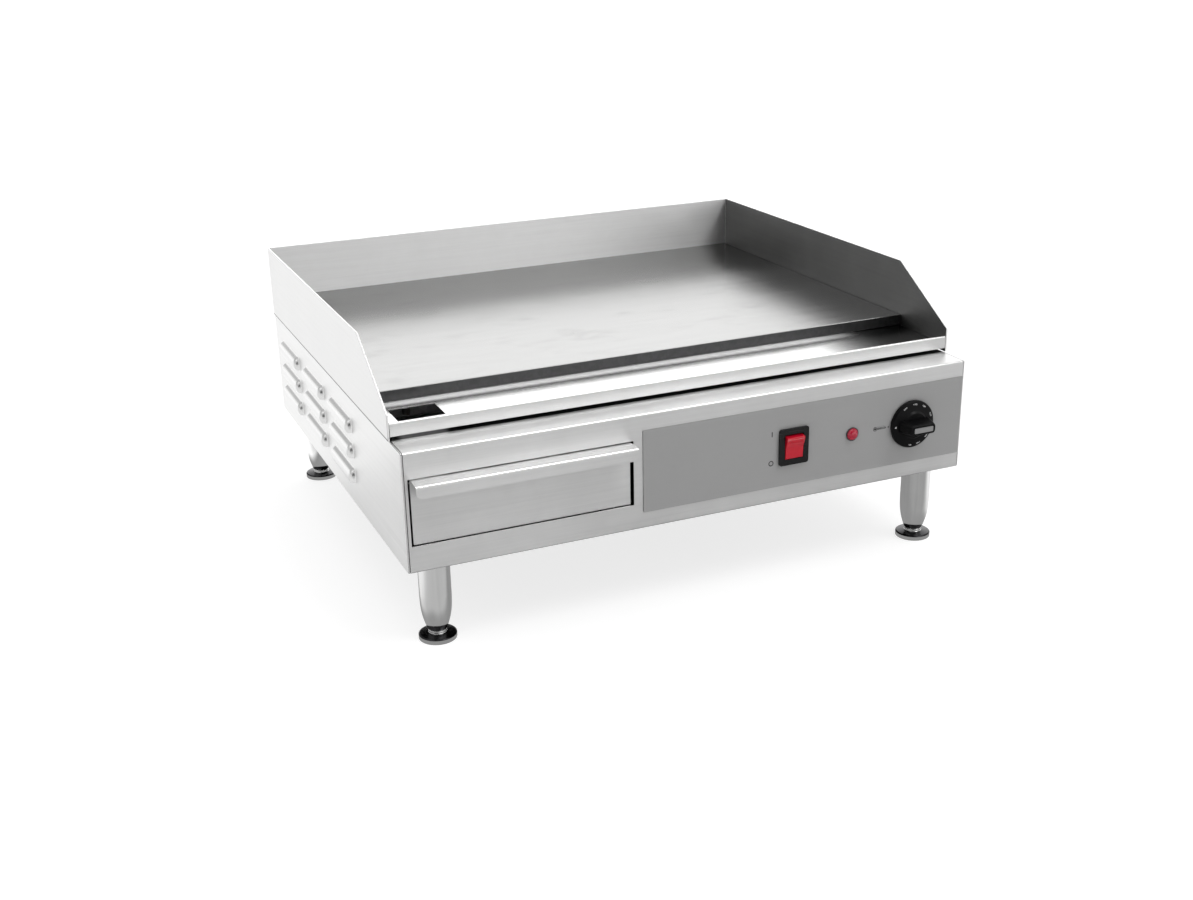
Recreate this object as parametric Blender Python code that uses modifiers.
"""Flat top electric griddle, countertop model, as an assembly of its separate pieces.

Working dimensions are millimetres in the cabinet frame: X from the cabinet's left side (0) to its
right side (610), Y from the front panel's face (0) to the back, Z from the cabinet's underside (0)
up. The scene is in metres: the origin is on the bench, below the middle of the whole object's box,
+X to the cook's right, +Y to the back, +Z up.
"""
import math

import bmesh
import bpy
from mathutils import Matrix, Vector

# ------------------------------------------------------------------ driving dimensions (mm)
MM = 0.001
BODY_W = 610.0          # cabinet width
BODY_D = 524.0          # cabinet depth
BODY_H = 118.0          # cabinet height, underside to ledge
MIDDLE_X = BODY_W / 2
LEG_H = 84.5            # bench to cabinet underside
SHEET = 1.2             # cabinet sheet
HALF_SHEET = SHEET / 2
BEND = 2.0              # outside radius of the cabinet's folds
SEAM = 0.6              # visible joint between neighbouring panels
GAP = 0.3               # clearance between pieces that fit together

GUARD_T = 2.0           # splash guard sheet
GUARD_OUT = 0.8         # guard overhang outside the cabinet
GUARD_Z0 = 118.6
GUARD_TOP = 198.5
GUARD_FRONT = 34.2      # front edge of the guard and of the trough lip
GUARD_NOSE_Z = 144.0    # top of the guard's short vertical front edge
GUARD_SLOPE_Y = 123.0   # where the sloping front edge reaches full height

PLATE_TOP = 139.3
PLATE_T = 12.0
PLATE_BOTTOM = PLATE_TOP - PLATE_T
PLATE_FRONT = 117.0
STUD_R = 3.0
STUD_X = (22.0, BODY_W - 22.0)
CLAMP_Y = (230.0, 410.0)

TROUGH_T = 1.2
LIP_TOP = 135.7
LIP_BOTTOM = 122.6
SLOT = (17.0, 63.5, 50.0, 96.0)          # slot in the trough floor: x0, x1, y0, y1

ELEMENT_R = 4.0
ELEMENT_Z = PLATE_BOTTOM - GAP - ELEMENT_R

OPENING = (5.4, 228.4, 26.2, 92.2)       # drawer opening: x0, x1, z0, z1
DRAWER_X = (8.0, 226.0)
DRAWER_RECESS = 3.0                      # drawer front behind the cabinet's face
DRAWER_ORIGIN = (sum(DRAWER_X) / 2, DRAWER_RECESS, 59.0)
HOOD_OUT = 17.0                          # hooded handle in front of the cabinet's face
HOOD_TOP = 91.0
HOOD_LIP = 78.4
TRAY_X = (12.0, 222.0)
TRAY_Y = (5.2, 372.0)
TRAY_Z = (29.0, 80.0)

OVERLAY = (238.0, 607.2, 17.0, 101.5)    # control panel overlay: x0, x1, z0, z1
CTRL_Z = 59.5                            # height of the lamp's and the knob's centres
SWITCH_X, SWITCH_Z = 404.0, 58.5
SWITCH_BEZEL = (33.4, 38.6)              # width, height
SWITCH_WELL = (21.4, 26.4)
SWITCH_HOLE = (28.0, 33.0)
ROCK_PIVOT = (SWITCH_X, 0.0, SWITCH_Z)
ROCK_DEG = 10.0                          # the rocker rests tilted this far either way
LAMP_X = 473.3
LAMP_HOLE_R = 5.8
KNOB_X = 545.0
KNOB_R = 25.5
KNOB_FACE = -24.0
KNOB_ORIGIN = (KNOB_X, -1.2, CTRL_Z)
KNOB_HOLE_R = 5.0                        # hole for the shaft in the fascia and the overlay

LEG_IN_X = 32.8
LEG_IN_Y = 28.7
LEG_R = 15.4
LEGS = {"front_left": (LEG_IN_X, LEG_IN_Y), "front_right": (BODY_W - LEG_IN_X, LEG_IN_Y),
        "back_left": (LEG_IN_X, BODY_D - LEG_IN_Y),
        "back_right": (BODY_W - LEG_IN_X, BODY_D - LEG_IN_Y)}

CORD_R = 4.5
GLAND_X, GLAND_Z = 530.0, 35.0           # cord outlet in the back panel
SCREW_AT = tuple((x, z) for z in (BODY_H - 18.0, 18.0) for x in (30.0, BODY_W - 30.0))

LOUVRE_FRONT = (174.0, 290.0, 405.0)     # front ends of the three louvre columns
LOUVRE_LEN = 84.0
LOUVRE_Z = (86.6, 59.7, 32.9)
LOUVRE_R = 6.4                           # half height
LOUVRE_OUT = 6.2                         # how far a louvre stands out
LOUVRE_CAP = 7.0                         # length of a louvre's rounded end

INSERT_OUT = 0.2                         # the knob's insert in front of the knob's face
Y_FRONT = KNOB_FACE - INSERT_OUT         # foremost point of the object
Y_BACK = 557.0                           # rearmost point, the cord behind the outlet
MIDDLE_Y = (Y_FRONT + Y_BACK) / 2

for old in list(bpy.data.objects):
    bpy.data.objects.remove(old, do_unlink=True)

PARTS = bpy.data.collections.new("flat_top_griddle")
bpy.context.scene.collection.children.link(PARTS)


# ------------------------------------------------------------------ objects and meshes
def point(x, y, z):
    """Cabinet millimetres to scene metres."""
    return Vector(((x - MIDDLE_X) * MM, (y - MIDDLE_Y) * MM, (z + LEG_H) * MM))


TO_SCENE = Matrix.Translation(point(0, 0, 0)) @ Matrix.Diagonal((MM, MM, MM, 1.0))


def new_object(name, data):
    obj = bpy.data.objects.new(name, data)
    PARTS.objects.link(obj)
    return obj


def from_bmesh(name, work, recalc=True):
    if recalc:
        bmesh.ops.recalc_face_normals(work, faces=work.faces)
    mesh = bpy.data.meshes.new(name)
    work.to_mesh(mesh)
    work.free()
    return new_object(name, mesh)


def evaluated(obj):
    """Turn the object's modifiers, or a curve's bevel and fill, into plain mesh."""
    bpy.context.view_layer.update()
    graph = bpy.context.evaluated_depsgraph_get()
    mesh = bpy.data.meshes.new_from_object(obj.evaluated_get(graph))
    if obj.type == "MESH":
        obj.modifiers.clear()
        obj.data = mesh
        return obj
    name = obj.name
    bpy.data.objects.remove(obj, do_unlink=True)
    return new_object(name, mesh)


def weld(obj, dist=1e-3):
    work = bmesh.new()
    work.from_mesh(obj.data)
    bmesh.ops.remove_doubles(work, verts=work.verts, dist=dist)
    bmesh.ops.dissolve_degenerate(work, dist=1e-4, edges=work.edges)
    bmesh.ops.recalc_face_normals(work, faces=work.faces)
    work.to_mesh(obj.data)
    work.free()
    return obj


def bake(obj, matrix):
    """Move the geometry by a matrix and leave the object untransformed."""
    obj.data.transform(matrix)
    if matrix.determinant() < 0:
        obj.data.flip_normals()
    return obj


def mirrored(obj, name, middle_x):
    """A copy mirrored left to right about the plane x = middle_x."""
    copy = new_object(name, obj.data.copy())
    return bake(copy, Matrix.Translation((middle_x, 0, 0)) @ Matrix.Diagonal((-1, 1, 1, 1))
                @ Matrix.Translation((-middle_x, 0, 0)))


def combine(obj, others, operation):
    """Join or cut with closed bodies, then drop them."""
    for other in others:
        mod = obj.modifiers.new(operation.lower(), "BOOLEAN")
        mod.operation = operation
        mod.solver = "EXACT"
        mod.object = other
    obj = evaluated(obj)
    for other in others:
        bpy.data.objects.remove(other, do_unlink=True)
    return weld(obj, 2e-4)


def gather(name, objs):
    """Several separate bodies as one object."""
    work = bmesh.new()
    for obj in objs:
        work.from_mesh(obj.data)
        bpy.data.objects.remove(obj, do_unlink=True)
    return from_bmesh(name, work, recalc=False)


def cut(obj, *others):
    return combine(obj, [gather(obj.name + "_cutter", others)], "DIFFERENCE")


def join(obj, *others):
    return combine(obj, others, "UNION")


# ------------------------------------------------------------------ solids
def block_bmesh(low, high):
    work = bmesh.new()
    bmesh.ops.create_cube(work, size=1.0)
    bmesh.ops.scale(work, vec=high - low, verts=work.verts)
    bmesh.ops.translate(work, vec=(low + high) / 2, verts=work.verts)
    return work


def round_edges(obj, width):
    mod = obj.modifiers.new("round", "BEVEL")
    mod.width = width
    mod.segments = 2
    mod.limit_method = "ANGLE"
    mod.angle_limit = math.radians(40)
    mod.use_clamp_overlap = True
    return evaluated(obj)


def box(name, low, high, bevel=0.0):
    obj = from_bmesh(name, block_bmesh(Vector(low), Vector(high)))
    return round_edges(obj, bevel) if bevel else obj


def open_box(name, low, high, open_side, bevel):
    """A sheet box with the side facing open_side left out, its folds rounded, thickened inwards."""
    low, high, open_side = Vector(low), Vector(high), Vector(open_side)
    work = block_bmesh(low, high)
    gone = [f for f in work.faces if f.normal.dot(open_side) > 0.9]
    bmesh.ops.delete(work, geom=gone, context="FACES_ONLY")
    folds = [e for e in work.edges if len(e.link_faces) == 2]
    bmesh.ops.bevel(work, geom=folds, offset=bevel, segments=3, profile=0.5, affect="EDGES")
    obj = from_bmesh(name, work)
    # an open shell's normals may have come out facing inwards
    centre = (low + high) / 2
    outward = sum((p.center - centre).dot(p.normal) * p.area for p in obj.data.polygons)
    if outward < 0:
        obj.data.flip_normals()
    mod = obj.modifiers.new("sheet", "SOLIDIFY")
    mod.thickness = SHEET
    mod.offset = -1.0
    mod.use_even_offset = True
    return weld(evaluated(obj), 1e-4)


def cylinder(name, centre, axis, radius, length, steps):
    """A cylinder whose middle is at centre, along X, Y or Z."""
    work = bmesh.new()
    bmesh.ops.create_cone(work, cap_ends=True, segments=steps, radius1=radius, radius2=radius,
                          depth=length)
    turn = {"X": Matrix.Rotation(math.radians(90), 4, "Y"),
            "Y": Matrix.Rotation(math.radians(-90), 4, "X"),
            "Z": Matrix.Identity(4)}[axis]
    return bake(from_bmesh(name, work), Matrix.Translation(Vector(centre)) @ turn)


def lathe(name, profile, facing, origin, steps):
    """Turned piece. The profile is (radius, height) pairs; height runs 'up' (+Z), to the
    'front' (-Y) or to the 'back' (+Y)."""
    work = bmesh.new()
    verts = [work.verts.new((radius, 0.0, height)) for radius, height in profile]
    for start, end in zip(verts[:-1], verts[1:]):
        work.edges.new((start, end))
    obj = from_bmesh(name, work, recalc=False)
    mod = obj.modifiers.new("turn", "SCREW")
    mod.steps = steps
    mod.render_steps = steps
    mod.axis = "Z"
    mod.use_merge_vertices = True
    mod.merge_threshold = 0.0001
    mod.use_smooth_shade = False
    obj = weld(evaluated(obj), 1e-4)
    degrees = {"up": 0, "front": 90, "back": -90}[facing]
    return bake(obj, Matrix.Translation(Vector(origin))
                @ Matrix.Rotation(math.radians(degrees), 4, "X"))


# ------------------------------------------------------------------ outlines and folded sheet
AXIS = {
    "X": Matrix(((0, 0, 1), (1, 0, 0), (0, 1, 0))).to_4x4(),   # local x,y,z -> Y,Z,X
    "Y": Matrix(((1, 0, 0), (0, 0, -1), (0, 1, 0))).to_4x4(),  # local x,y,z -> X,Z,-Y
    "Z": Matrix.Identity(4),
}


def outline(name, loops, axis, low, high):
    """Flat closed outline(s) extruded along an axis. Loops are (Y,Z), (X,Z) or (X,Y) for
    X, Y or Z; a loop inside another is a hole."""
    if not isinstance(loops[0][0], (tuple, list, Vector)):
        loops = [loops]
    curve = bpy.data.curves.new(name, "CURVE")
    curve.dimensions = "2D"
    curve.fill_mode = "BOTH"
    curve.extrude = (high - low) / 2
    for loop in loops:
        spline = curve.splines.new("POLY")
        spline.points.add(len(loop) - 1)
        for spline_point, place in zip(spline.points, loop):
            spline_point.co = (place[0], place[1], 0.0, 1.0)
        spline.use_cyclic_u = True
    obj = weld(evaluated(new_object(name, curve)))
    middle = (low + high) / 2
    shift = {"X": (middle, 0, 0), "Y": (0, middle, 0), "Z": (0, 0, middle)}[axis]
    return bake(obj, Matrix.Translation(Vector(shift)) @ AXIS[axis])


def corner_frame(before, corner, after, radius):
    """Centre of the arc that rounds a corner, and its two ends measured from that centre."""
    corner = Vector(corner)
    toward_before = (Vector(before) - corner).normalized()
    toward_after = (Vector(after) - corner).normalized()
    half = toward_before.angle(toward_after) / 2
    reach = radius / math.tan(half)
    middle = (toward_before + toward_after).normalized()
    centre = corner + middle * (radius / math.sin(half))
    return (centre, corner + toward_before * reach - centre,
            corner + toward_after * reach - centre)


def fillet(path, radius, steps=3):
    """Replace the corners of an open flat path by arcs."""
    out = [Vector(path[0])]
    for before, corner, after in zip(path[:-2], path[1:-1], path[2:]):
        centre, start, end = corner_frame(before, corner, after, radius)
        turn = start.angle_signed(end)
        for i in range(steps + 1):
            angle = -turn * i / steps
            cos, sin = math.cos(angle), math.sin(angle)
            out.append(centre + Vector((start.x * cos - start.y * sin,
                                        start.x * sin + start.y * cos)))
    out.append(Vector(path[-1]))
    return out


def folded(name, path, axis, low, high, thick=SHEET, radius=None):
    """Folded sheet: its middle line with rounded folds, thickened both ways and extruded."""
    line = fillet(path, BEND - thick / 2 if radius is None else radius)
    runs = [(end - start).normalized() for start, end in zip(line[:-1], line[1:])]
    left, right = [], []
    for i, place in enumerate(line):
        before, after = runs[max(i - 1, 0)], runs[min(i, len(runs) - 1)]
        normal_before = Vector((-before.y, before.x))
        offset = (normal_before + Vector((-after.y, after.x))).normalized()
        offset *= (thick / 2) / max(offset.dot(normal_before), 0.3)
        left.append(place + offset)
        right.append(place - offset)
    return outline(name, [tuple(place) for place in left + right[::-1]], axis, low, high)


def rounded_rect(x0, x1, y0, y1, radius, steps=3):
    out = []
    for centre_x, centre_y, first in ((x1 - radius, y1 - radius, 0), (x0 + radius, y1 - radius, 90),
                                      (x0 + radius, y0 + radius, 180),
                                      (x1 - radius, y0 + radius, 270)):
        for i in range(steps + 1):
            angle = math.radians(first + 90 * i / steps)
            out.append((centre_x + radius * math.cos(angle), centre_y + radius * math.sin(angle)))
    return out


def centred_rect(x, y, width, height, radius, steps=3):
    return rounded_rect(x - width / 2, x + width / 2, y - height / 2, y + height / 2, radius, steps)


def circle(x, y, radius, steps):
    turns = [2 * math.pi * i / steps for i in range(steps)]
    return [(x + radius * math.cos(turn), y + radius * math.sin(turn)) for turn in turns]


# ------------------------------------------------------------------ tubes
def bend_path(points, radii, steps):
    """Round the corners of a 3D path, by one radius or by one for each corner."""
    if not isinstance(radii, list):
        radii = [radii] * (len(points) - 2)
    out = [Vector(points[0])]
    for before, corner, after, radius in zip(points[:-2], points[1:-1], points[2:], radii):
        centre, start, end = corner_frame(before, corner, after, radius)
        axis = start.cross(end).normalized()
        total = start.angle(end)
        for i in range(steps + 1):
            out.append(centre + Matrix.Rotation(total * i / steps, 3, axis) @ start)
    out.append(Vector(points[-1]))
    return out


def tube(name, points, radius, resolution, factors=None):
    """Round tube along points; factors scale its radius at each point."""
    curve = bpy.data.curves.new(name, "CURVE")
    curve.dimensions = "3D"
    curve.bevel_depth = radius
    curve.bevel_resolution = resolution
    curve.use_fill_caps = True
    spline = curve.splines.new("POLY")
    spline.points.add(len(points) - 1)
    for i, (spline_point, place) in enumerate(zip(spline.points, points)):
        spline_point.co = (*place, 1.0)
        if factors:
            spline_point.radius = factors[i]
    return weld(evaluated(new_object(name, curve)))


# ------------------------------------------------------------------ side panels
FLANGE_W = 14.0          # side panel's inward flanges
FLANGE_FRONT = 48.0      # the flanges start behind the fascia's ledge
FLANGE_BACK = 16.0       # and stop this far before the back


def louvre_body(name, x_out, half_z, y0, y1, cap, z):
    """A long dome, flat on the sheet's middle plane: half of a sphere stretched into a capsule."""
    work = bmesh.new()
    bmesh.ops.create_uvsphere(work, u_segments=8, v_segments=4, radius=1.0)
    # the sphere's poles point along Y
    bmesh.ops.rotate(work, cent=(0, 0, 0), matrix=Matrix.Rotation(math.radians(90), 3, "X"),
                     verts=work.verts)
    # cut the equator open and stretch the two halves apart; tagged vertices are the back half
    equator = [e for e in work.edges if all(abs(v.co.y) < 1e-6 for v in e.verts)]
    bmesh.ops.split_edges(work, edges=equator)
    for face in work.faces:
        is_back = face.calc_center_median().y > 0
        for v in face.verts:
            v.tag = is_back
    middle = (y0 + y1) / 2
    half = (y1 - y0) / 2 - cap
    for v in work.verts:
        side = 1 if v.tag else -1
        v.co = Vector((v.co.x * x_out, middle + side * half + v.co.y * cap, v.co.z * half_z))
    bmesh.ops.bridge_loops(work, edges=[e for e in work.edges if e.is_boundary])
    # keep the outer half only
    bmesh.ops.bisect_plane(work, geom=work.verts[:] + work.edges[:] + work.faces[:], dist=1e-5,
                           plane_co=(0, 0, 0), plane_no=(1, 0, 0), clear_outer=True)
    bmesh.ops.holes_fill(work, edges=[e for e in work.edges if e.is_boundary])
    bmesh.ops.translate(work, vec=(HALF_SHEET, 0, z), verts=work.verts)
    return from_bmesh(name, work)


def louvre_hollow(y, z):
    """The inside of a louvre, run on through the sheet."""
    hollow = louvre_body("hollow", LOUVRE_OUT + HALF_SHEET - SHEET, LOUVRE_R - SHEET, y + SHEET,
                         y + LOUVRE_LEN - SHEET, LOUVRE_CAP - SHEET, z)
    for v in hollow.data.vertices:
        if v.co.x > HALF_SHEET - 1e-4:
            v.co.x = SHEET + 1.5
    return hollow


def side_panel():
    """The left panel: open towards the cabinet's inside, with louvres open at the bottom."""
    body = open_box("left_side_panel", (0, 0.2, 0), (FLANGE_W, BODY_D, BODY_H), (1, 0, 0), BEND)
    # the flanges end short of the front panel and of the back panel
    body = cut(body, box("cutter", (BEND + 0.01, -3, -3), (20, FLANGE_FRONT, BODY_H + 3)),
               box("cutter", (BEND + 0.01, BODY_D - FLANGE_BACK, -3), (20, BODY_D + 3, BODY_H + 3)))
    domes, hollows, mouths = [], [], []
    for z in LOUVRE_Z:
        for y in LOUVRE_FRONT:
            domes.append(louvre_body("dome", LOUVRE_OUT + HALF_SHEET, LOUVRE_R, y, y + LOUVRE_LEN,
                                     LOUVRE_CAP, z))
            hollows.append(louvre_hollow(y, z))
            mouths.append(box("mouth", (-LOUVRE_OUT - 3, y + 9, z - LOUVRE_R - 1),
                              (-0.15, y + LOUVRE_LEN - 9, z - 3.4)))
    body = join(body, gather("domes", domes))
    body = cut(body, *hollows)
    return cut(body, *mouths)


left_side = side_panel()
right_side = mirrored(left_side, "right_side_panel", MIDDLE_X)

# ------------------------------------------------------------------ front, back and base
PANEL_X = (BEND + SEAM, BODY_W - BEND - SEAM)
FRONT_LEDGE = 46.0       # depth of the fascia's top ledge
BACK_LEDGE = 14.0
BOTTOM_FLANGE = 12.0
GLAND_HOLE_R = 10.5
SCREW_HOLE_R = 2.3
PAN_SIDE = 3.0           # base pan inside the cabinet's sides
PAN_END = 1.6            # and inside its front and back
PAN_Z = (1.5, 13.0)
VENT_X, VENT_PITCH, VENT_W = 200, 30, 6


def front_fascia():
    body = folded("front_fascia", [(FRONT_LEDGE, BODY_H - HALF_SHEET),
                                   (HALF_SHEET, BODY_H - HALF_SHEET), (HALF_SHEET, HALF_SHEET),
                                   (BOTTOM_FLANGE, HALF_SHEET)], "X", *PANEL_X)
    half_w, half_h = SWITCH_HOLE[0] / 2, SWITCH_HOLE[1] / 2
    return cut(body, box("cutter", (OPENING[0], -3, OPENING[2]), (OPENING[1], 4, OPENING[3])),
               box("cutter", (SWITCH_X - half_w, -3, SWITCH_Z - half_h),
                   (SWITCH_X + half_w, 4, SWITCH_Z + half_h)),
               cylinder("cutter", (LAMP_X, 0, CTRL_Z), "Y", LAMP_HOLE_R, 8, 16),
               cylinder("cutter", (KNOB_X, 0, CTRL_Z), "Y", KNOB_HOLE_R, 8, 16))


def back_panel():
    face_y = BODY_D - HALF_SHEET
    body = folded("back_panel", [(BODY_D - BACK_LEDGE, BODY_H - HALF_SHEET),
                                 (face_y, BODY_H - HALF_SHEET), (face_y, HALF_SHEET),
                                 (BODY_D - BOTTOM_FLANGE, HALF_SHEET)], "X", *PANEL_X)
    return cut(body, cylinder("cutter", (GLAND_X, BODY_D, GLAND_Z), "Y", GLAND_HOLE_R, 8, 20),
               *[cylinder("cutter", (x, BODY_D, z), "Y", SCREW_HOLE_R, 8, 10)
                 for x, z in SCREW_AT])


def base_pan():
    """The pan under the cabinet, with four leg holes and a row of slots."""
    body = open_box("base_pan", (PAN_SIDE, PAN_END, PAN_Z[0]),
                    (BODY_W - PAN_SIDE, BODY_D - PAN_END, PAN_Z[1]), (0, 0, 1), 1.6)
    vents = [VENT_X + i * VENT_PITCH for i in range(8)]
    return cut(body, *[cylinder("cutter", (x, y, 2), "Z", 5.5, 6, 16) for x, y in LEGS.values()],
               *[box("cutter", (x, 240, 0), (x + VENT_W, 320, 4)) for x in vents])


front = front_fascia()
back = back_panel()
pan = base_pan()

# ------------------------------------------------------------------ plate, guard and trough
GUARD_X = (-GUARD_OUT, BODY_W + GUARD_OUT)
INSIDE_X = (GUARD_X[0] + GUARD_T + GAP, GUARD_X[1] - GUARD_T - GAP)    # between the guard's sides
PLATE_BACK = BODY_D + GUARD_OUT - GUARD_T - GAP
STUD_LEN = 21.0
STUD_DROP = 8.5          # plate's underside to a stud's middle
LIP_SPACING = 2.2        # between the middle planes of the lip's two walls
TROUGH_BACK = 130.0
SUPPORT_X = (5.0, 16.0)
SUPPORT_Y = (132.0, 514.0)
SUPPORT_T = 2.0


def griddle_plate():
    """The plate with the four threaded-clamp studs standing down from it."""
    body = box("griddle_plate", (INSIDE_X[0], PLATE_FRONT, PLATE_BOTTOM),
               (INSIDE_X[1], PLATE_BACK, PLATE_TOP), 0.8)
    return join(body, *[cylinder("stud", (x, y, PLATE_BOTTOM - STUD_DROP), "Z", STUD_R, STUD_LEN, 12)
                        for x in STUD_X for y in CLAMP_Y])


def splash_guard():
    """Three-sided guard, its sides sloping down at the front."""
    left, right = GUARD_X[0] + GUARD_T / 2, GUARD_X[1] - GUARD_T / 2
    back_y = BODY_D + GUARD_OUT - GUARD_T / 2
    body = folded("splash_guard", [(left, GUARD_FRONT), (left, back_y), (right, back_y),
                                   (right, GUARD_FRONT)],
                  "Z", GUARD_Z0, GUARD_TOP, thick=GUARD_T, radius=1.4)
    slope = (GUARD_TOP - GUARD_NOSE_Z) / (GUARD_SLOPE_Y - GUARD_FRONT)
    return cut(body, outline("cutter", [(GUARD_FRONT - 30, GUARD_NOSE_Z - 30 * slope),
                                        (GUARD_SLOPE_Y + 20, GUARD_TOP + 20 * slope),
                                        (GUARD_FRONT - 30, GUARD_TOP + 20)],
                             "X", -20, BODY_W + 20))


def grease_trough():
    """Trough floor under the plate's front, with a doubled lip at the front and a slot."""
    floor_z = PLATE_BOTTOM - GAP - TROUGH_T / 2
    lip_y = GUARD_FRONT + TROUGH_T / 2
    lip_z = LIP_TOP - TROUGH_T / 2
    body = folded("grease_trough", [(TROUGH_BACK, floor_z), (lip_y + LIP_SPACING, floor_z),
                                    (lip_y + LIP_SPACING, lip_z), (lip_y, lip_z),
                                    (lip_y, LIP_BOTTOM)],
                  "X", *INSIDE_X, thick=TROUGH_T, radius=1.0)
    return cut(body, box("cutter", (SLOT[0], SLOT[2], floor_z - 4), (SLOT[1], SLOT[3], floor_z + 4)))


plate = griddle_plate()
guard = splash_guard()
trough = grease_trough()
support_z = PLATE_BOTTOM - GAP - SUPPORT_T / 2
support_left = folded("plate_support_left", [(SUPPORT_X[0], BODY_H + 0.4), (SUPPORT_X[0], support_z),
                                             (SUPPORT_X[1], support_z)],
                      "Y", *SUPPORT_Y, thick=SUPPORT_T, radius=1.6)
support_right = mirrored(support_left, "plate_support_right", MIDDLE_X)

# ------------------------------------------------------------------ heating
ELEMENT_X = (50.0, 275.0)        # left element's outer passes
ELEMENT_Y = (170.0, 490.0)       # front and back of the inner loops
ELEMENT_END_Y = 150.0
ELEMENT_DROP = 22.0              # length of the ends turned down
ELEMENT_BENDS = [9.0, 30.0, 30.0, 30.0, 30.0, 30.0, 30.0, 9.0]
CLAMP_INSET = 15.5               # clamp bar's ends inside the cabinet's sides
CLAMP_HALF_W = 11.0
CLAMP_T = 3.0
CLAMP_TOP = ELEMENT_Z - ELEMENT_R - GAP
NUT_TOP = CLAMP_TOP - CLAMP_T - GAP
NUT_H = 4.5


def element(name, x0, x1):
    """A sheathed element: four passes front to back, its two ends turned down at the front."""
    front_y, back_y = ELEMENT_Y
    pitch = (x1 - x0) / 3
    path = [(x0, ELEMENT_END_Y, ELEMENT_Z - ELEMENT_DROP)]
    path += [(x, y, ELEMENT_Z) for x, y in (
        (x0, ELEMENT_END_Y), (x0, back_y), (x0 + pitch, back_y), (x0 + pitch, front_y),
        (x0 + 2 * pitch, front_y), (x0 + 2 * pitch, back_y), (x1, back_y), (x1, ELEMENT_END_Y))]
    path.append((x1, ELEMENT_END_Y, ELEMENT_Z - ELEMENT_DROP))
    return tube(name, bend_path(path, ELEMENT_BENDS, 4), ELEMENT_R, 2)


def element_clamp(name, y):
    """A bar across the cabinet under the elements, held on two studs."""
    bar = rounded_rect(CLAMP_INSET, BODY_W - CLAMP_INSET, y - CLAMP_HALF_W, y + CLAMP_HALF_W, 4)
    holes = [circle(x, y, STUD_R + 0.4, 12) for x in STUD_X]
    return outline(name, [bar, *holes], "Z", CLAMP_TOP - CLAMP_T, CLAMP_TOP)


def hex_nut(name, x, y, radius, hole_r, z0, z1):
    return outline(name, [circle(x, y, radius, 6), circle(x, y, hole_r, 12)], "Z", z0, z1)


element_left = element("heating_element_left", *ELEMENT_X)
element_right = element("heating_element_right", BODY_W - ELEMENT_X[1], BODY_W - ELEMENT_X[0])
clamps = [element_clamp("element_clamp_" + label, y) for label, y in zip(("front", "back"), CLAMP_Y)]
clamp_nuts = [hex_nut("clamp_nut_%d" % (i + 1), x, y, 5.8, STUD_R + 0.3, NUT_TOP - NUT_H, NUT_TOP)
              for i, (x, y) in enumerate((x, y) for y in CLAMP_Y for x in STUD_X)]

# the blanket and the tray under it start behind the elements' turned-down ends
blanket = box("insulation_blanket", (40.0, 160.0, 97.0), (BODY_W - 40.0, 508.0, 110.5), 2.0)
shield = open_box("heat_shield_tray", (30.0, 157.0, 95.2), (BODY_W - 30.0, 514.0, 107.0),
                  (0, 0, 1), 2.0)

# ------------------------------------------------------------------ drawer
LIP_CORNER_R = 6.0
RAIL_X = (6.0, 18.0, 32.0)       # foot's edge, web, top flange's edge
RAIL_Y = (20.0, 410.0)
RAIL_FOOT_Z = 3.6


def lip_corner(edge_x, inward):
    """Cutter that rounds off a lower corner of the handle's lip."""
    radius = LIP_CORNER_R
    loop = [(edge_x - inward * 1.0, HOOD_LIP - 1.0), (edge_x + inward * radius, HOOD_LIP - 1.0)]
    for i in range(7):
        angle = math.radians(90 * i / 6)
        loop.append((edge_x + inward * (radius - radius * math.sin(angle)),
                     HOOD_LIP + radius - radius * math.cos(angle)))
    loop.append((edge_x - inward * 1.0, HOOD_LIP + radius))
    return outline("cutter", loop, "Y", -HOOD_OUT - 4, -HOOD_OUT + 4)


def grease_drawer_front():
    """Drawer front, folded forwards at the top into a hooded handle."""
    face_y = DRAWER_RECESS + HALF_SHEET
    hood_y, hood_z = -HOOD_OUT + HALF_SHEET, HOOD_TOP - HALF_SHEET
    body = folded("grease_drawer_front", [(face_y, OPENING[2] + 1.2), (face_y, hood_z),
                                          (hood_y, hood_z), (hood_y, HOOD_LIP)],
                  "X", *DRAWER_X, radius=1.6)
    return cut(body, lip_corner(DRAWER_X[0], 1), lip_corner(DRAWER_X[1], -1))


drawer_front = grease_drawer_front()
tray = open_box("grease_drawer_tray", *zip(TRAY_X, TRAY_Y, TRAY_Z), (0, 0, 1), 3.0)
rail_z = TRAY_Z[0] - GAP - HALF_SHEET
rail_left = folded("drawer_rail_left", [(RAIL_X[0], RAIL_FOOT_Z), (RAIL_X[1], RAIL_FOOT_Z),
                                        (RAIL_X[1], rail_z), (RAIL_X[2], rail_z)],
                   "Y", *RAIL_Y, radius=1.2)
rail_right = mirrored(rail_left, "drawer_rail_right", sum(TRAY_X) / 2)

# ------------------------------------------------------------------ overlay, switch and lamp
OVERLAY_Y = (-0.8, -0.3)
BEZEL_Y = (-3.4, -1.1)
SWITCH_BODY_Y = (-2.0, 27.0)
SWITCH_FIT = 0.4                 # switch body inside the fascia's hole, each side
WELL_BACK = 13.0
ROCKER_HALF_W = 10.0
# (y, z) from the pivot
ROCKER_OUTLINE = [(-5.6, -11.4), (-4.2, 0.0), (-5.6, 11.4), (-4.8, 11.9), (0.0, 11.9), (8.0, 9.6),
                  (8.0, -9.6), (0.0, -11.9), (-4.8, -11.9)]
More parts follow.
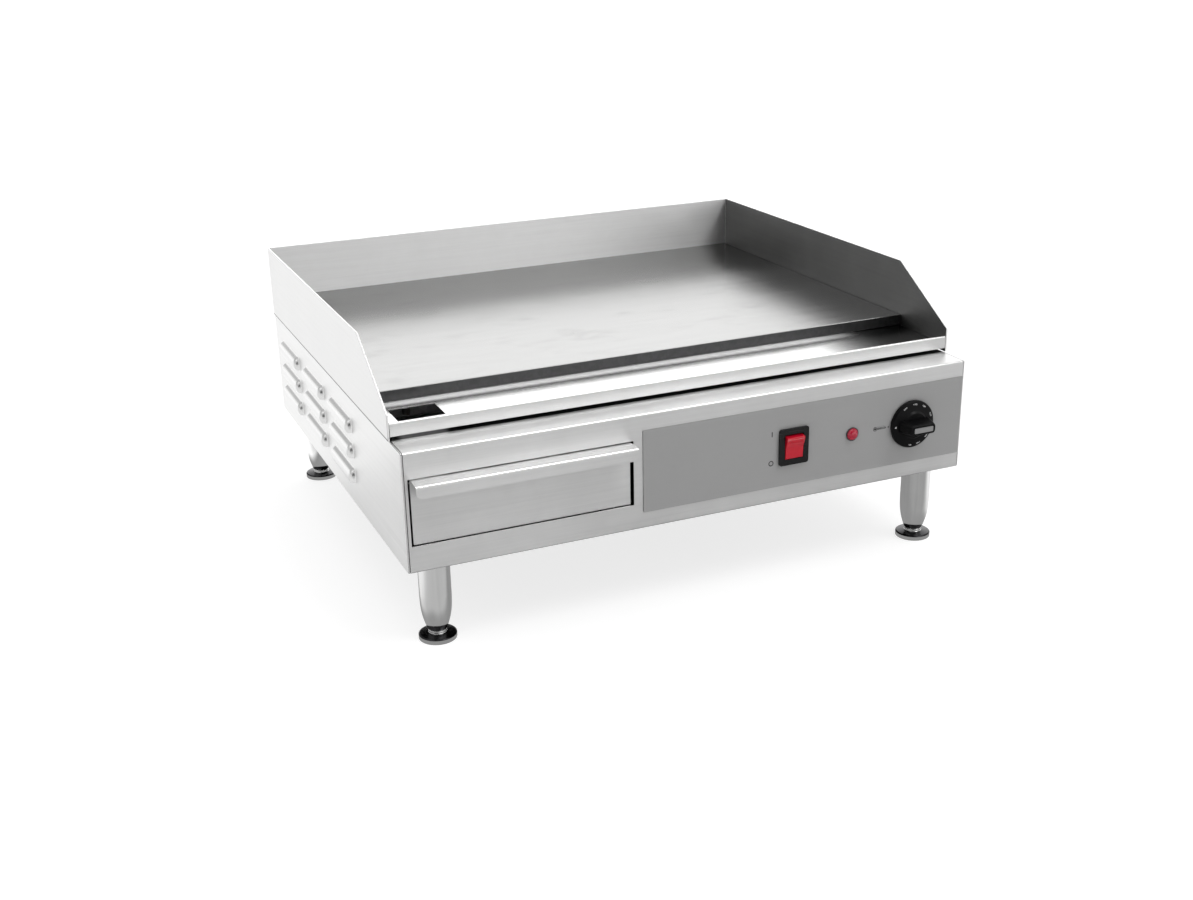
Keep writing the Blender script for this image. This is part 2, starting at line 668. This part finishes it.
# (radius, height towards the front)
LENS_PROFILE = [(0, 4.8), (2.6, 4.5), (4.8, 3.6), (6.2, 2.0), (6.6, 1.1), (7.2, 1.1), (7.2, 0.0),
                (5.2, 0.0), (5.2, -4.0), (0, -4.0)]
LAMP_PROFILE = [(0, 0), (5.2, 0), (5.2, -22), (3.0, -22), (3.0, -28), (0, -28)]


def control_panel_overlay():
    x0, x1, z0, z1 = OVERLAY
    return outline("control_panel_overlay",
                   [[(x0, z0), (x1, z0), (x1, z1), (x0, z1)],
                    centred_rect(SWITCH_X, SWITCH_Z, *SWITCH_HOLE, 1.0, 2),
                    circle(LAMP_X, CTRL_Z, LAMP_HOLE_R, 16),
                    circle(KNOB_X, CTRL_Z, KNOB_HOLE_R, 16)], "Y", *OVERLAY_Y)


def power_switch_housing():
    """Bezel and body in one, with a well for the rocker."""
    half_w, half_h = (size / 2 - SWITCH_FIT for size in SWITCH_HOLE)
    bezel = outline("power_switch_housing", centred_rect(SWITCH_X, SWITCH_Z, *SWITCH_BEZEL, 2.5),
                    "Y", *BEZEL_Y)
    body = join(bezel, box("body", (SWITCH_X - half_w, SWITCH_BODY_Y[0], SWITCH_Z - half_h),
                           (SWITCH_X + half_w, SWITCH_BODY_Y[1], SWITCH_Z + half_h)))
    return cut(body, outline("cutter", centred_rect(SWITCH_X, SWITCH_Z, *SWITCH_WELL, 0.8, 2),
                             "Y", -8.0, WELL_BACK))


overlay = control_panel_overlay()
housing = power_switch_housing()
rocker = outline("power_switch_rocker", ROCKER_OUTLINE, "X", -ROCKER_HALF_W, ROCKER_HALF_W)
bake(rocker, Matrix.Translation(ROCK_PIVOT) @ Matrix.Rotation(math.radians(ROCK_DEG), 4, "X"))
lens = lathe("indicator_lamp_lens", LENS_PROFILE, "front", (LAMP_X, -1.1, CTRL_Z), 20)
lamp = lathe("indicator_lamp_body", LAMP_PROFILE, "front", (LAMP_X, 3.3, CTRL_Z), 16)

# ------------------------------------------------------------------ thermostat and knob
THERMO_HALF_W, THERMO_HALF_H = 22.0, 18.0
THERMO_Y = (4.0, 36.0)
SHAFT_Y = (-17.0, 11.0)
SHAFT_R = 3.0
# (radius, height towards the front)
KNOB_PROFILE = [(0, 8.0), (13.5, 8.0), (17.5, 5.2), (24.3, 4.2), (KNOB_R, 3.0), (KNOB_R, 0.0),
                (0, 0.0)]
GRIP_FRONT = (14.3, 5.4)         # half width, half height at the knob's face
GRIP_BACK = (18.5, 6.6)
GRIP_BACK_Y = -5.0
INSERT_SIZE = (22.6, 5.6)        # width, height


def thermostat_body():
    body = box("thermostat_body", (KNOB_X - THERMO_HALF_W, THERMO_Y[0], CTRL_Z - THERMO_HALF_H),
               (KNOB_X + THERMO_HALF_W, THERMO_Y[1], CTRL_Z + THERMO_HALF_H), 1.5)
    return cut(body, cylinder("cutter", (KNOB_X, 7.0, CTRL_Z), "Y", SHAFT_R + 0.4, 10.0, 14))


def thermostat_shaft():
    """Shaft with a flat on top of its front end."""
    body = cylinder("thermostat_shaft", (KNOB_X, sum(SHAFT_Y) / 2, CTRL_Z), "Y", SHAFT_R,
                    SHAFT_Y[1] - SHAFT_Y[0], 14)
    return cut(body, box("cutter", (KNOB_X - 5, -18.0, CTRL_Z + 2.0),
                         (KNOB_X + 5, -4.0, CTRL_Z + 5)))


def knob_grip():
    """The knob's bar, tapering towards the front."""
    work = bmesh.new()
    bmesh.ops.create_cube(work, size=1.0)
    for v in work.verts:
        is_front = v.co.y < 0
        half_w, half_h = GRIP_FRONT if is_front else GRIP_BACK
        v.co = Vector((KNOB_X + v.co.x * 2 * half_w, KNOB_FACE if is_front else GRIP_BACK_Y,
                       CTRL_Z + v.co.z * 2 * half_h))
    return round_edges(from_bmesh("grip", work), 1.4)


def control_knob():
    """Turned skirt and bar, with a pocket for the insert and a bore for the shaft."""
    body = lathe("control_knob", KNOB_PROFILE, "front", KNOB_ORIGIN, 36)
    body = join(body, knob_grip())
    pocket = [size + 2 * GAP for size in INSERT_SIZE]
    return cut(body, outline("cutter", centred_rect(KNOB_X, CTRL_Z, *pocket, 0.8, 2),
                             "Y", KNOB_FACE - 2, KNOB_FACE + 0.9),
               cylinder("cutter", (KNOB_X, -8.4, CTRL_Z), "Y", SHAFT_R + 0.3, 18.0, 14))


thermo = thermostat_body()
shaft = thermostat_shaft()
knob = control_knob()
insert = outline("knob_grip_insert", centred_rect(KNOB_X, CTRL_Z, *INSERT_SIZE, 0.8, 2),
                 "Y", KNOB_FACE - INSERT_OUT, KNOB_FACE + 0.6)

# ------------------------------------------------------------------ capillary, terminals, wires
BEHIND_THERMO = THERMO_Y[1] + 0.4
BEHIND_SWITCH = SWITCH_BODY_Y[1] + 0.4
CAPILLARY_R = 1.0
BULB_FACTOR = 2.9                # bulb's radius over the capillary's
BULB_Z = ELEMENT_Z + 0.6
WIRE_R = 1.6
WIRE_FLOOR_Z = 8.0
UPPER_WIRE_Z = 66.0
LOWER_WIRE_Z = 50.0


def thermostat_bulb_and_capillary():
    """A thin line from the thermostat up to the middle, widening into a bulb under the plate."""
    path = [(KNOB_X, BEHIND_THERMO, CTRL_Z), (KNOB_X, 60.0, CTRL_Z), (KNOB_X, 60.0, 112.0),
            (MIDDLE_X, 60.0, 112.0), (MIDDLE_X, 145.0, 112.0), (MIDDLE_X, 155.0, BULB_Z)]
    points = bend_path(path, 8.0, 3)
    points += [Vector((MIDDLE_X, y, BULB_Z)) for y in (170.0, 171.0, 214.0)]
    factors = [1.0] * (len(points) - 2) + [BULB_FACTOR, BULB_FACTOR]
    return tube("thermostat_bulb_and_capillary", points, CAPILLARY_R, 1, factors)


def terminal_block():
    """A block with four grooves across its top."""
    body = box("terminal_block", (470.0, 440.0, 3.0), (524.0, 462.0, 22.0), 0.8)
    grooves = [480.5 + i * 11.0 for i in range(4)]
    return cut(body, *[box("cutter", (x, 438.0, 12.0), (x + 2.0, 464.0, 24.0)) for x in grooves])


capillary = thermostat_bulb_and_capillary()
terminals = terminal_block()
wire_to_switch = tube("wire_terminal_to_switch", bend_path([
    (475.0, 439.6, WIRE_FLOOR_Z), (475.0, 300.0, WIRE_FLOOR_Z), (SWITCH_X, 200.0, WIRE_FLOOR_Z),
    (SWITCH_X, 45.0, WIRE_FLOOR_Z), (SWITCH_X, 45.0, LOWER_WIRE_Z),
    (SWITCH_X, BEHIND_SWITCH, LOWER_WIRE_Z)], 12.0, 3), WIRE_R, 1)
wire_to_thermostat = tube("wire_switch_to_thermostat", bend_path([
    (SWITCH_X, BEHIND_SWITCH, UPPER_WIRE_Z), (SWITCH_X, 48.0, UPPER_WIRE_Z),
    (KNOB_X - 10, 52.0, UPPER_WIRE_Z), (KNOB_X - 10, BEHIND_THERMO, UPPER_WIRE_Z)],
    8.0, 3), WIRE_R, 1)

# ------------------------------------------------------------------ legs and feet
# (radius, height from the cabinet's underside)
LEG_PROFILE = [(0, 14.0), (4.6, 14.0), (5.0, 13.4), (5.0, 1.2), (14.9, 1.2), (LEG_R, 0.6),
               (LEG_R, -40.0), (14.9, -51.0), (13.7, -59.5), (12.0, -66.7), (10.1, -72.4),
               (9.2, -74.4), (8.4, -75.0), (5.0, -75.0), (5.0, -48.0), (0, -48.0)]
FOOT_PROFILE = [(0, -55.0), (4.3, -55.0), (4.7, -55.6), (4.7, -75.3), (8.6, -75.3), (8.9, -75.8),
                (8.9, -77.4), (10.5, -77.9), (17.4, -79.0), (18.5, -79.7), (18.5, -83.9),
                (17.9, -LEG_H), (0, -LEG_H)]

legs, feet, leg_nuts = {}, {}, {}
for label, (x, y) in LEGS.items():
    legs[label] = lathe("leg_" + label, LEG_PROFILE, "up", (x, y, 0), 16)
    feet[label] = lathe("foot_" + label, FOOT_PROFILE, "up", (x, y, 0), 16)
    leg_nuts[label] = hex_nut("leg_nut_" + label, x, y, 9.8, 5.4, 3.0, 9.0)

# ------------------------------------------------------------------ cord
# (radius, height towards the back)
GLAND_PROFILE = [(4.9, 14.0), (7.0, 14.0), (8.4, 12.6), (10.0, 4.2), (13.5, 4.2), (14.2, 3.4),
                 (14.2, 0.3), (10.0, 0.3), (10.0, -3.2), (12.4, -3.2), (12.4, -8.0), (4.9, -8.0),
                 (4.9, 14.0)]
CORD_Z = -LEG_H + 1.2 + CORD_R
COIL_HALF = 50.0                 # half length of the coil's straight runs
COIL_R = 50.0                    # radius of the outermost turn
COIL_X = GLAND_X - COIL_HALF - COIL_R    # so the coil meets the drop tangentially
COIL_Y = 395.0
COIL_PITCH = 12.0                # radius lost in a full turn
TURN_STEPS = 16                  # points in a full turn
COIL_STEPS = 28                  # one turn and three quarters
CORD_END_RISE = 4.0
CORD_END_X = COIL_X + COIL_HALF - 10.0


def coil_radius(step):
    return COIL_R - COIL_PITCH * step / TURN_STEPS


def coil_points():
    """A flat oblong spiral inwards, clockwise from above, from its right-hand end."""
    points = []
    for step in range(COIL_STEPS + 1):
        angle = math.radians(-360.0 * step / TURN_STEPS)
        radius = coil_radius(step)
        y = COIL_Y + radius * math.sin(angle)
        if step % (TURN_STEPS // 2) == TURN_STEPS // 4:
            # a straight run: to the left along the front, to the right along the back
            near = COIL_HALF if math.sin(angle) < 0 else -COIL_HALF
            points += [Vector((COIL_X + near, y, CORD_Z)), Vector((COIL_X - near, y, CORD_Z))]
        else:
            end = COIL_HALF if math.cos(angle) > 0 else -COIL_HALF
            points.append(Vector((COIL_X + end + radius * math.cos(angle), y, CORD_Z)))
    return points


def power_cord():
    """Out of the back, down to the bench, round the coil, then a rising half turn to the plug."""
    drop_y = Y_BACK - CORD_R
    points = bend_path([(GLAND_X, 480.0, GLAND_Z), (GLAND_X, drop_y, GLAND_Z),
                        (GLAND_X, drop_y, CORD_Z), (GLAND_X, COIL_Y + 90, CORD_Z)], 13.0, 5)
    points += coil_points()
    radius = coil_radius(COIL_STEPS) / 2
    for i in range(1, 9):
        angle = math.radians(90 - 22.5 * i)
        points.append(Vector((COIL_X + COIL_HALF + radius * math.cos(angle),
                              COIL_Y + radius + radius * math.sin(angle),
                              CORD_Z + CORD_END_RISE * i / 8)))
    points.append(Vector((CORD_END_X, COIL_Y, CORD_Z + CORD_END_RISE)))
    return tube("power_cord", points, CORD_R, 2)


gland = lathe("cord_strain_relief", GLAND_PROFILE, "back", (GLAND_X, BODY_D, GLAND_Z), 16)
cord = power_cord()

# ------------------------------------------------------------------ plug, facing left
PLUG_BACK = CORD_END_X - GAP
PLUG_FACE = PLUG_BACK - 34.0
PLUG_Z = CORD_Z + CORD_END_RISE
BLADE_OFF = 6.5                  # plug's middle to a blade's middle
BLADE_T = 1.6
BLADE_Z = (-1.5, 5.5)            # from the plug's middle
PIN_Z = PLUG_Z - 4.2


def blade(name, side, x0, x1, gap=0.0, bevel=0.0):
    """A blade, or its slot when a gap is given; side -1 is nearer the front, 1 the back."""
    y, half = COIL_Y + side * BLADE_OFF, BLADE_T / 2 + gap
    return box(name, (PLUG_FACE + x0, y - half, PLUG_Z + BLADE_Z[0] - gap),
               (PLUG_FACE + x1, y + half, PLUG_Z + BLADE_Z[1] + gap), bevel)


def power_plug():
    body = box("power_plug", (PLUG_FACE, COIL_Y - 13.0, PLUG_Z - 8.6),
               (PLUG_BACK - 12, COIL_Y + 13.0, PLUG_Z + 10.4), 2.5)
    body = join(body, cylinder("neck", (PLUG_BACK - 8.0, COIL_Y, PLUG_Z), "X", 6.6, 16.0, 14))
    return cut(body, *[blade("cutter", side, -2, 6, gap=GAP) for side in (-1, 1)],
               cylinder("cutter", (PLUG_FACE + 2, COIL_Y, PIN_Z), "X", 2.7, 8.0, 12))


plug = power_plug()
blade_left = blade("plug_blade_left", -1, -17, 5.6, bevel=0.3)
blade_right = blade("plug_blade_right", 1, -17, 5.6, bevel=0.3)
pin = cylinder("plug_ground_pin", (PLUG_FACE - 7.5, COIL_Y, PIN_Z), "X", 2.4, 26.0, 12)

# ------------------------------------------------------------------ back panel screws
# (radius, height towards the back)
SCREW_PROFILE = [(0, 2.4), (2.4, 2.2), (3.8, 0.9), (4.0, 0.3), (2.0, 0.3), (2.0, -8.0), (0, -8.0)]
screws = [lathe("back_panel_screw_%d" % (i + 1), SCREW_PROFILE, "back", (x, BODY_D, z), 12)
          for i, (x, z) in enumerate(SCREW_AT)]


# ------------------------------------------------------------------ materials and origins
def material(name, colour, roughness, metallic=0.0):
    mat = bpy.data.materials.new(name)
    mat.use_nodes = True
    bsdf = mat.node_tree.nodes["Principled BSDF"]
    bsdf.inputs["Base Color"].default_value = (*colour, 1.0)
    bsdf.inputs["Roughness"].default_value = roughness
    bsdf.inputs["Metallic"].default_value = metallic
    return mat


def steel(name, roughness=0.3, tone=0.74):
    return material(name, (tone, tone, tone * 0.99), roughness, metallic=1.0)


def brass(name):
    return material(name, colour=(0.8, 0.6, 0.3), roughness=0.3, metallic=1.0)


def finish(obj, mat, origin=None, smooth=None):
    """Into the scene's metres, with the origin at a given place or in the middle of bound_box.

    bound_box follows the last view layer update, so every piece is finished here at the end,
    with no update in between. smooth is the sharp-edge angle in degrees."""
    obj.data.materials.clear()
    obj.data.materials.append(mat)
    bake(obj, TO_SCENE)
    if origin is None:
        corners = [Vector(corner) for corner in obj.bound_box]
        place = (Vector(map(min, zip(*corners))) + Vector(map(max, zip(*corners)))) / 2
    else:
        place = point(*origin)
    obj.data.transform(Matrix.Translation(-place))
    obj.location = place
    if smooth:
        obj.data.shade_smooth()
        obj.data.set_sharp_from_angle(angle=math.radians(smooth))


# cabinet
finish(left_side, steel("steel_left_side"))
finish(right_side, steel("steel_right_side"))
finish(front, steel("steel_front"))
finish(back, steel("steel_back"))
finish(pan, steel("galvanised_pan", roughness=0.5, tone=0.6))

# plate, guard and trough
finish(plate, steel("polished_plate", roughness=0.22, tone=0.62))
finish(guard, steel("steel_guard", roughness=0.28))
finish(trough, steel("steel_trough", roughness=0.2, tone=0.8))
finish(support_left, steel("steel_support_left", roughness=0.5, tone=0.6))
finish(support_right, steel("steel_support_right", roughness=0.5, tone=0.6))

# heating
finish(element_left, steel("element_sheath_left", roughness=0.45, tone=0.25), smooth=50)
finish(element_right, steel("element_sheath_right", roughness=0.45, tone=0.25), smooth=50)
for bar in clamps:
    finish(bar, steel(bar.name + "_steel", roughness=0.5, tone=0.5))
for nut in clamp_nuts:
    finish(nut, steel(nut.name + "_zinc", roughness=0.35, tone=0.7))
finish(blanket, material("ceramic_fibre", colour=(0.86, 0.84, 0.8), roughness=0.95))
finish(shield, steel("aluminised_tray", roughness=0.45, tone=0.65))

# drawer
finish(drawer_front, steel("steel_drawer_front"), origin=DRAWER_ORIGIN)
finish(tray, steel("steel_drawer_tray", roughness=0.32, tone=0.68), origin=DRAWER_ORIGIN)
finish(rail_left, steel("rail_steel_left", roughness=0.5, tone=0.6))
finish(rail_right, steel("rail_steel_right", roughness=0.5, tone=0.6))

# controls
finish(overlay, material("grey_overlay", colour=(0.25, 0.25, 0.25), roughness=0.45))
finish(housing, material("switch_black", colour=(0.012, 0.012, 0.013), roughness=0.3))
finish(rocker, material("rocker_red", colour=(0.55, 0.01, 0.03), roughness=0.22),
       origin=ROCK_PIVOT)
finish(lens, material("lamp_red", colour=(0.4, 0.01, 0.03), roughness=0.2), smooth=40)
finish(lamp, material("lamp_holder_grey", colour=(0.05, 0.05, 0.055), roughness=0.5), smooth=40)
finish(thermo, material("thermostat_case", colour=(0.55, 0.53, 0.5), roughness=0.5, metallic=0.6))
finish(shaft, steel("shaft_steel", roughness=0.3, tone=0.7), origin=KNOB_ORIGIN, smooth=40)
finish(knob, material("knob_black", colour=(0.012, 0.012, 0.012), roughness=0.35),
       origin=KNOB_ORIGIN, smooth=35)
finish(insert, material("knob_insert_silver", colour=(0.45, 0.45, 0.45), roughness=0.35,
                        metallic=0.9), origin=KNOB_ORIGIN)
finish(capillary, material("bulb_copper", colour=(0.6, 0.35, 0.22), roughness=0.35, metallic=1.0),
       smooth=50)
finish(terminals, material("terminal_white", colour=(0.8, 0.79, 0.74), roughness=0.4))
finish(wire_to_switch, material("wire_black", colour=(0.02, 0.02, 0.02), roughness=0.5), smooth=60)
finish(wire_to_thermostat, material("wire_red", colour=(0.4, 0.02, 0.02), roughness=0.5), smooth=60)

# legs and feet; a foot's origin is on the bench
for label, (x, y) in LEGS.items():
    finish(legs[label], steel("steel_leg_" + label, roughness=0.25), smooth=40)
    finish(feet[label], material("chrome_foot_" + label, colour=(0.8, 0.8, 0.8), roughness=0.08,
                                 metallic=1.0), origin=(x, y, -LEG_H), smooth=40)
    finish(leg_nuts[label], steel("zinc_nut_" + label, roughness=0.4, tone=0.65))

# cord, plug and screws
finish(gland, material("gland_black", colour=(0.02, 0.02, 0.02), roughness=0.5), smooth=40)
finish(cord, material("cord_black", colour=(0.02, 0.02, 0.02), roughness=0.55), smooth=60)
finish(plug, material("plug_black", colour=(0.02, 0.02, 0.02), roughness=0.5))
finish(blade_left, brass("blade_brass_left"))
finish(blade_right, brass("blade_brass_right"))
finish(pin, brass("pin_brass"), smooth=40)
for screw in screws:
    finish(screw, steel(screw.name + "_steel", roughness=0.25, tone=0.75), smooth=40)
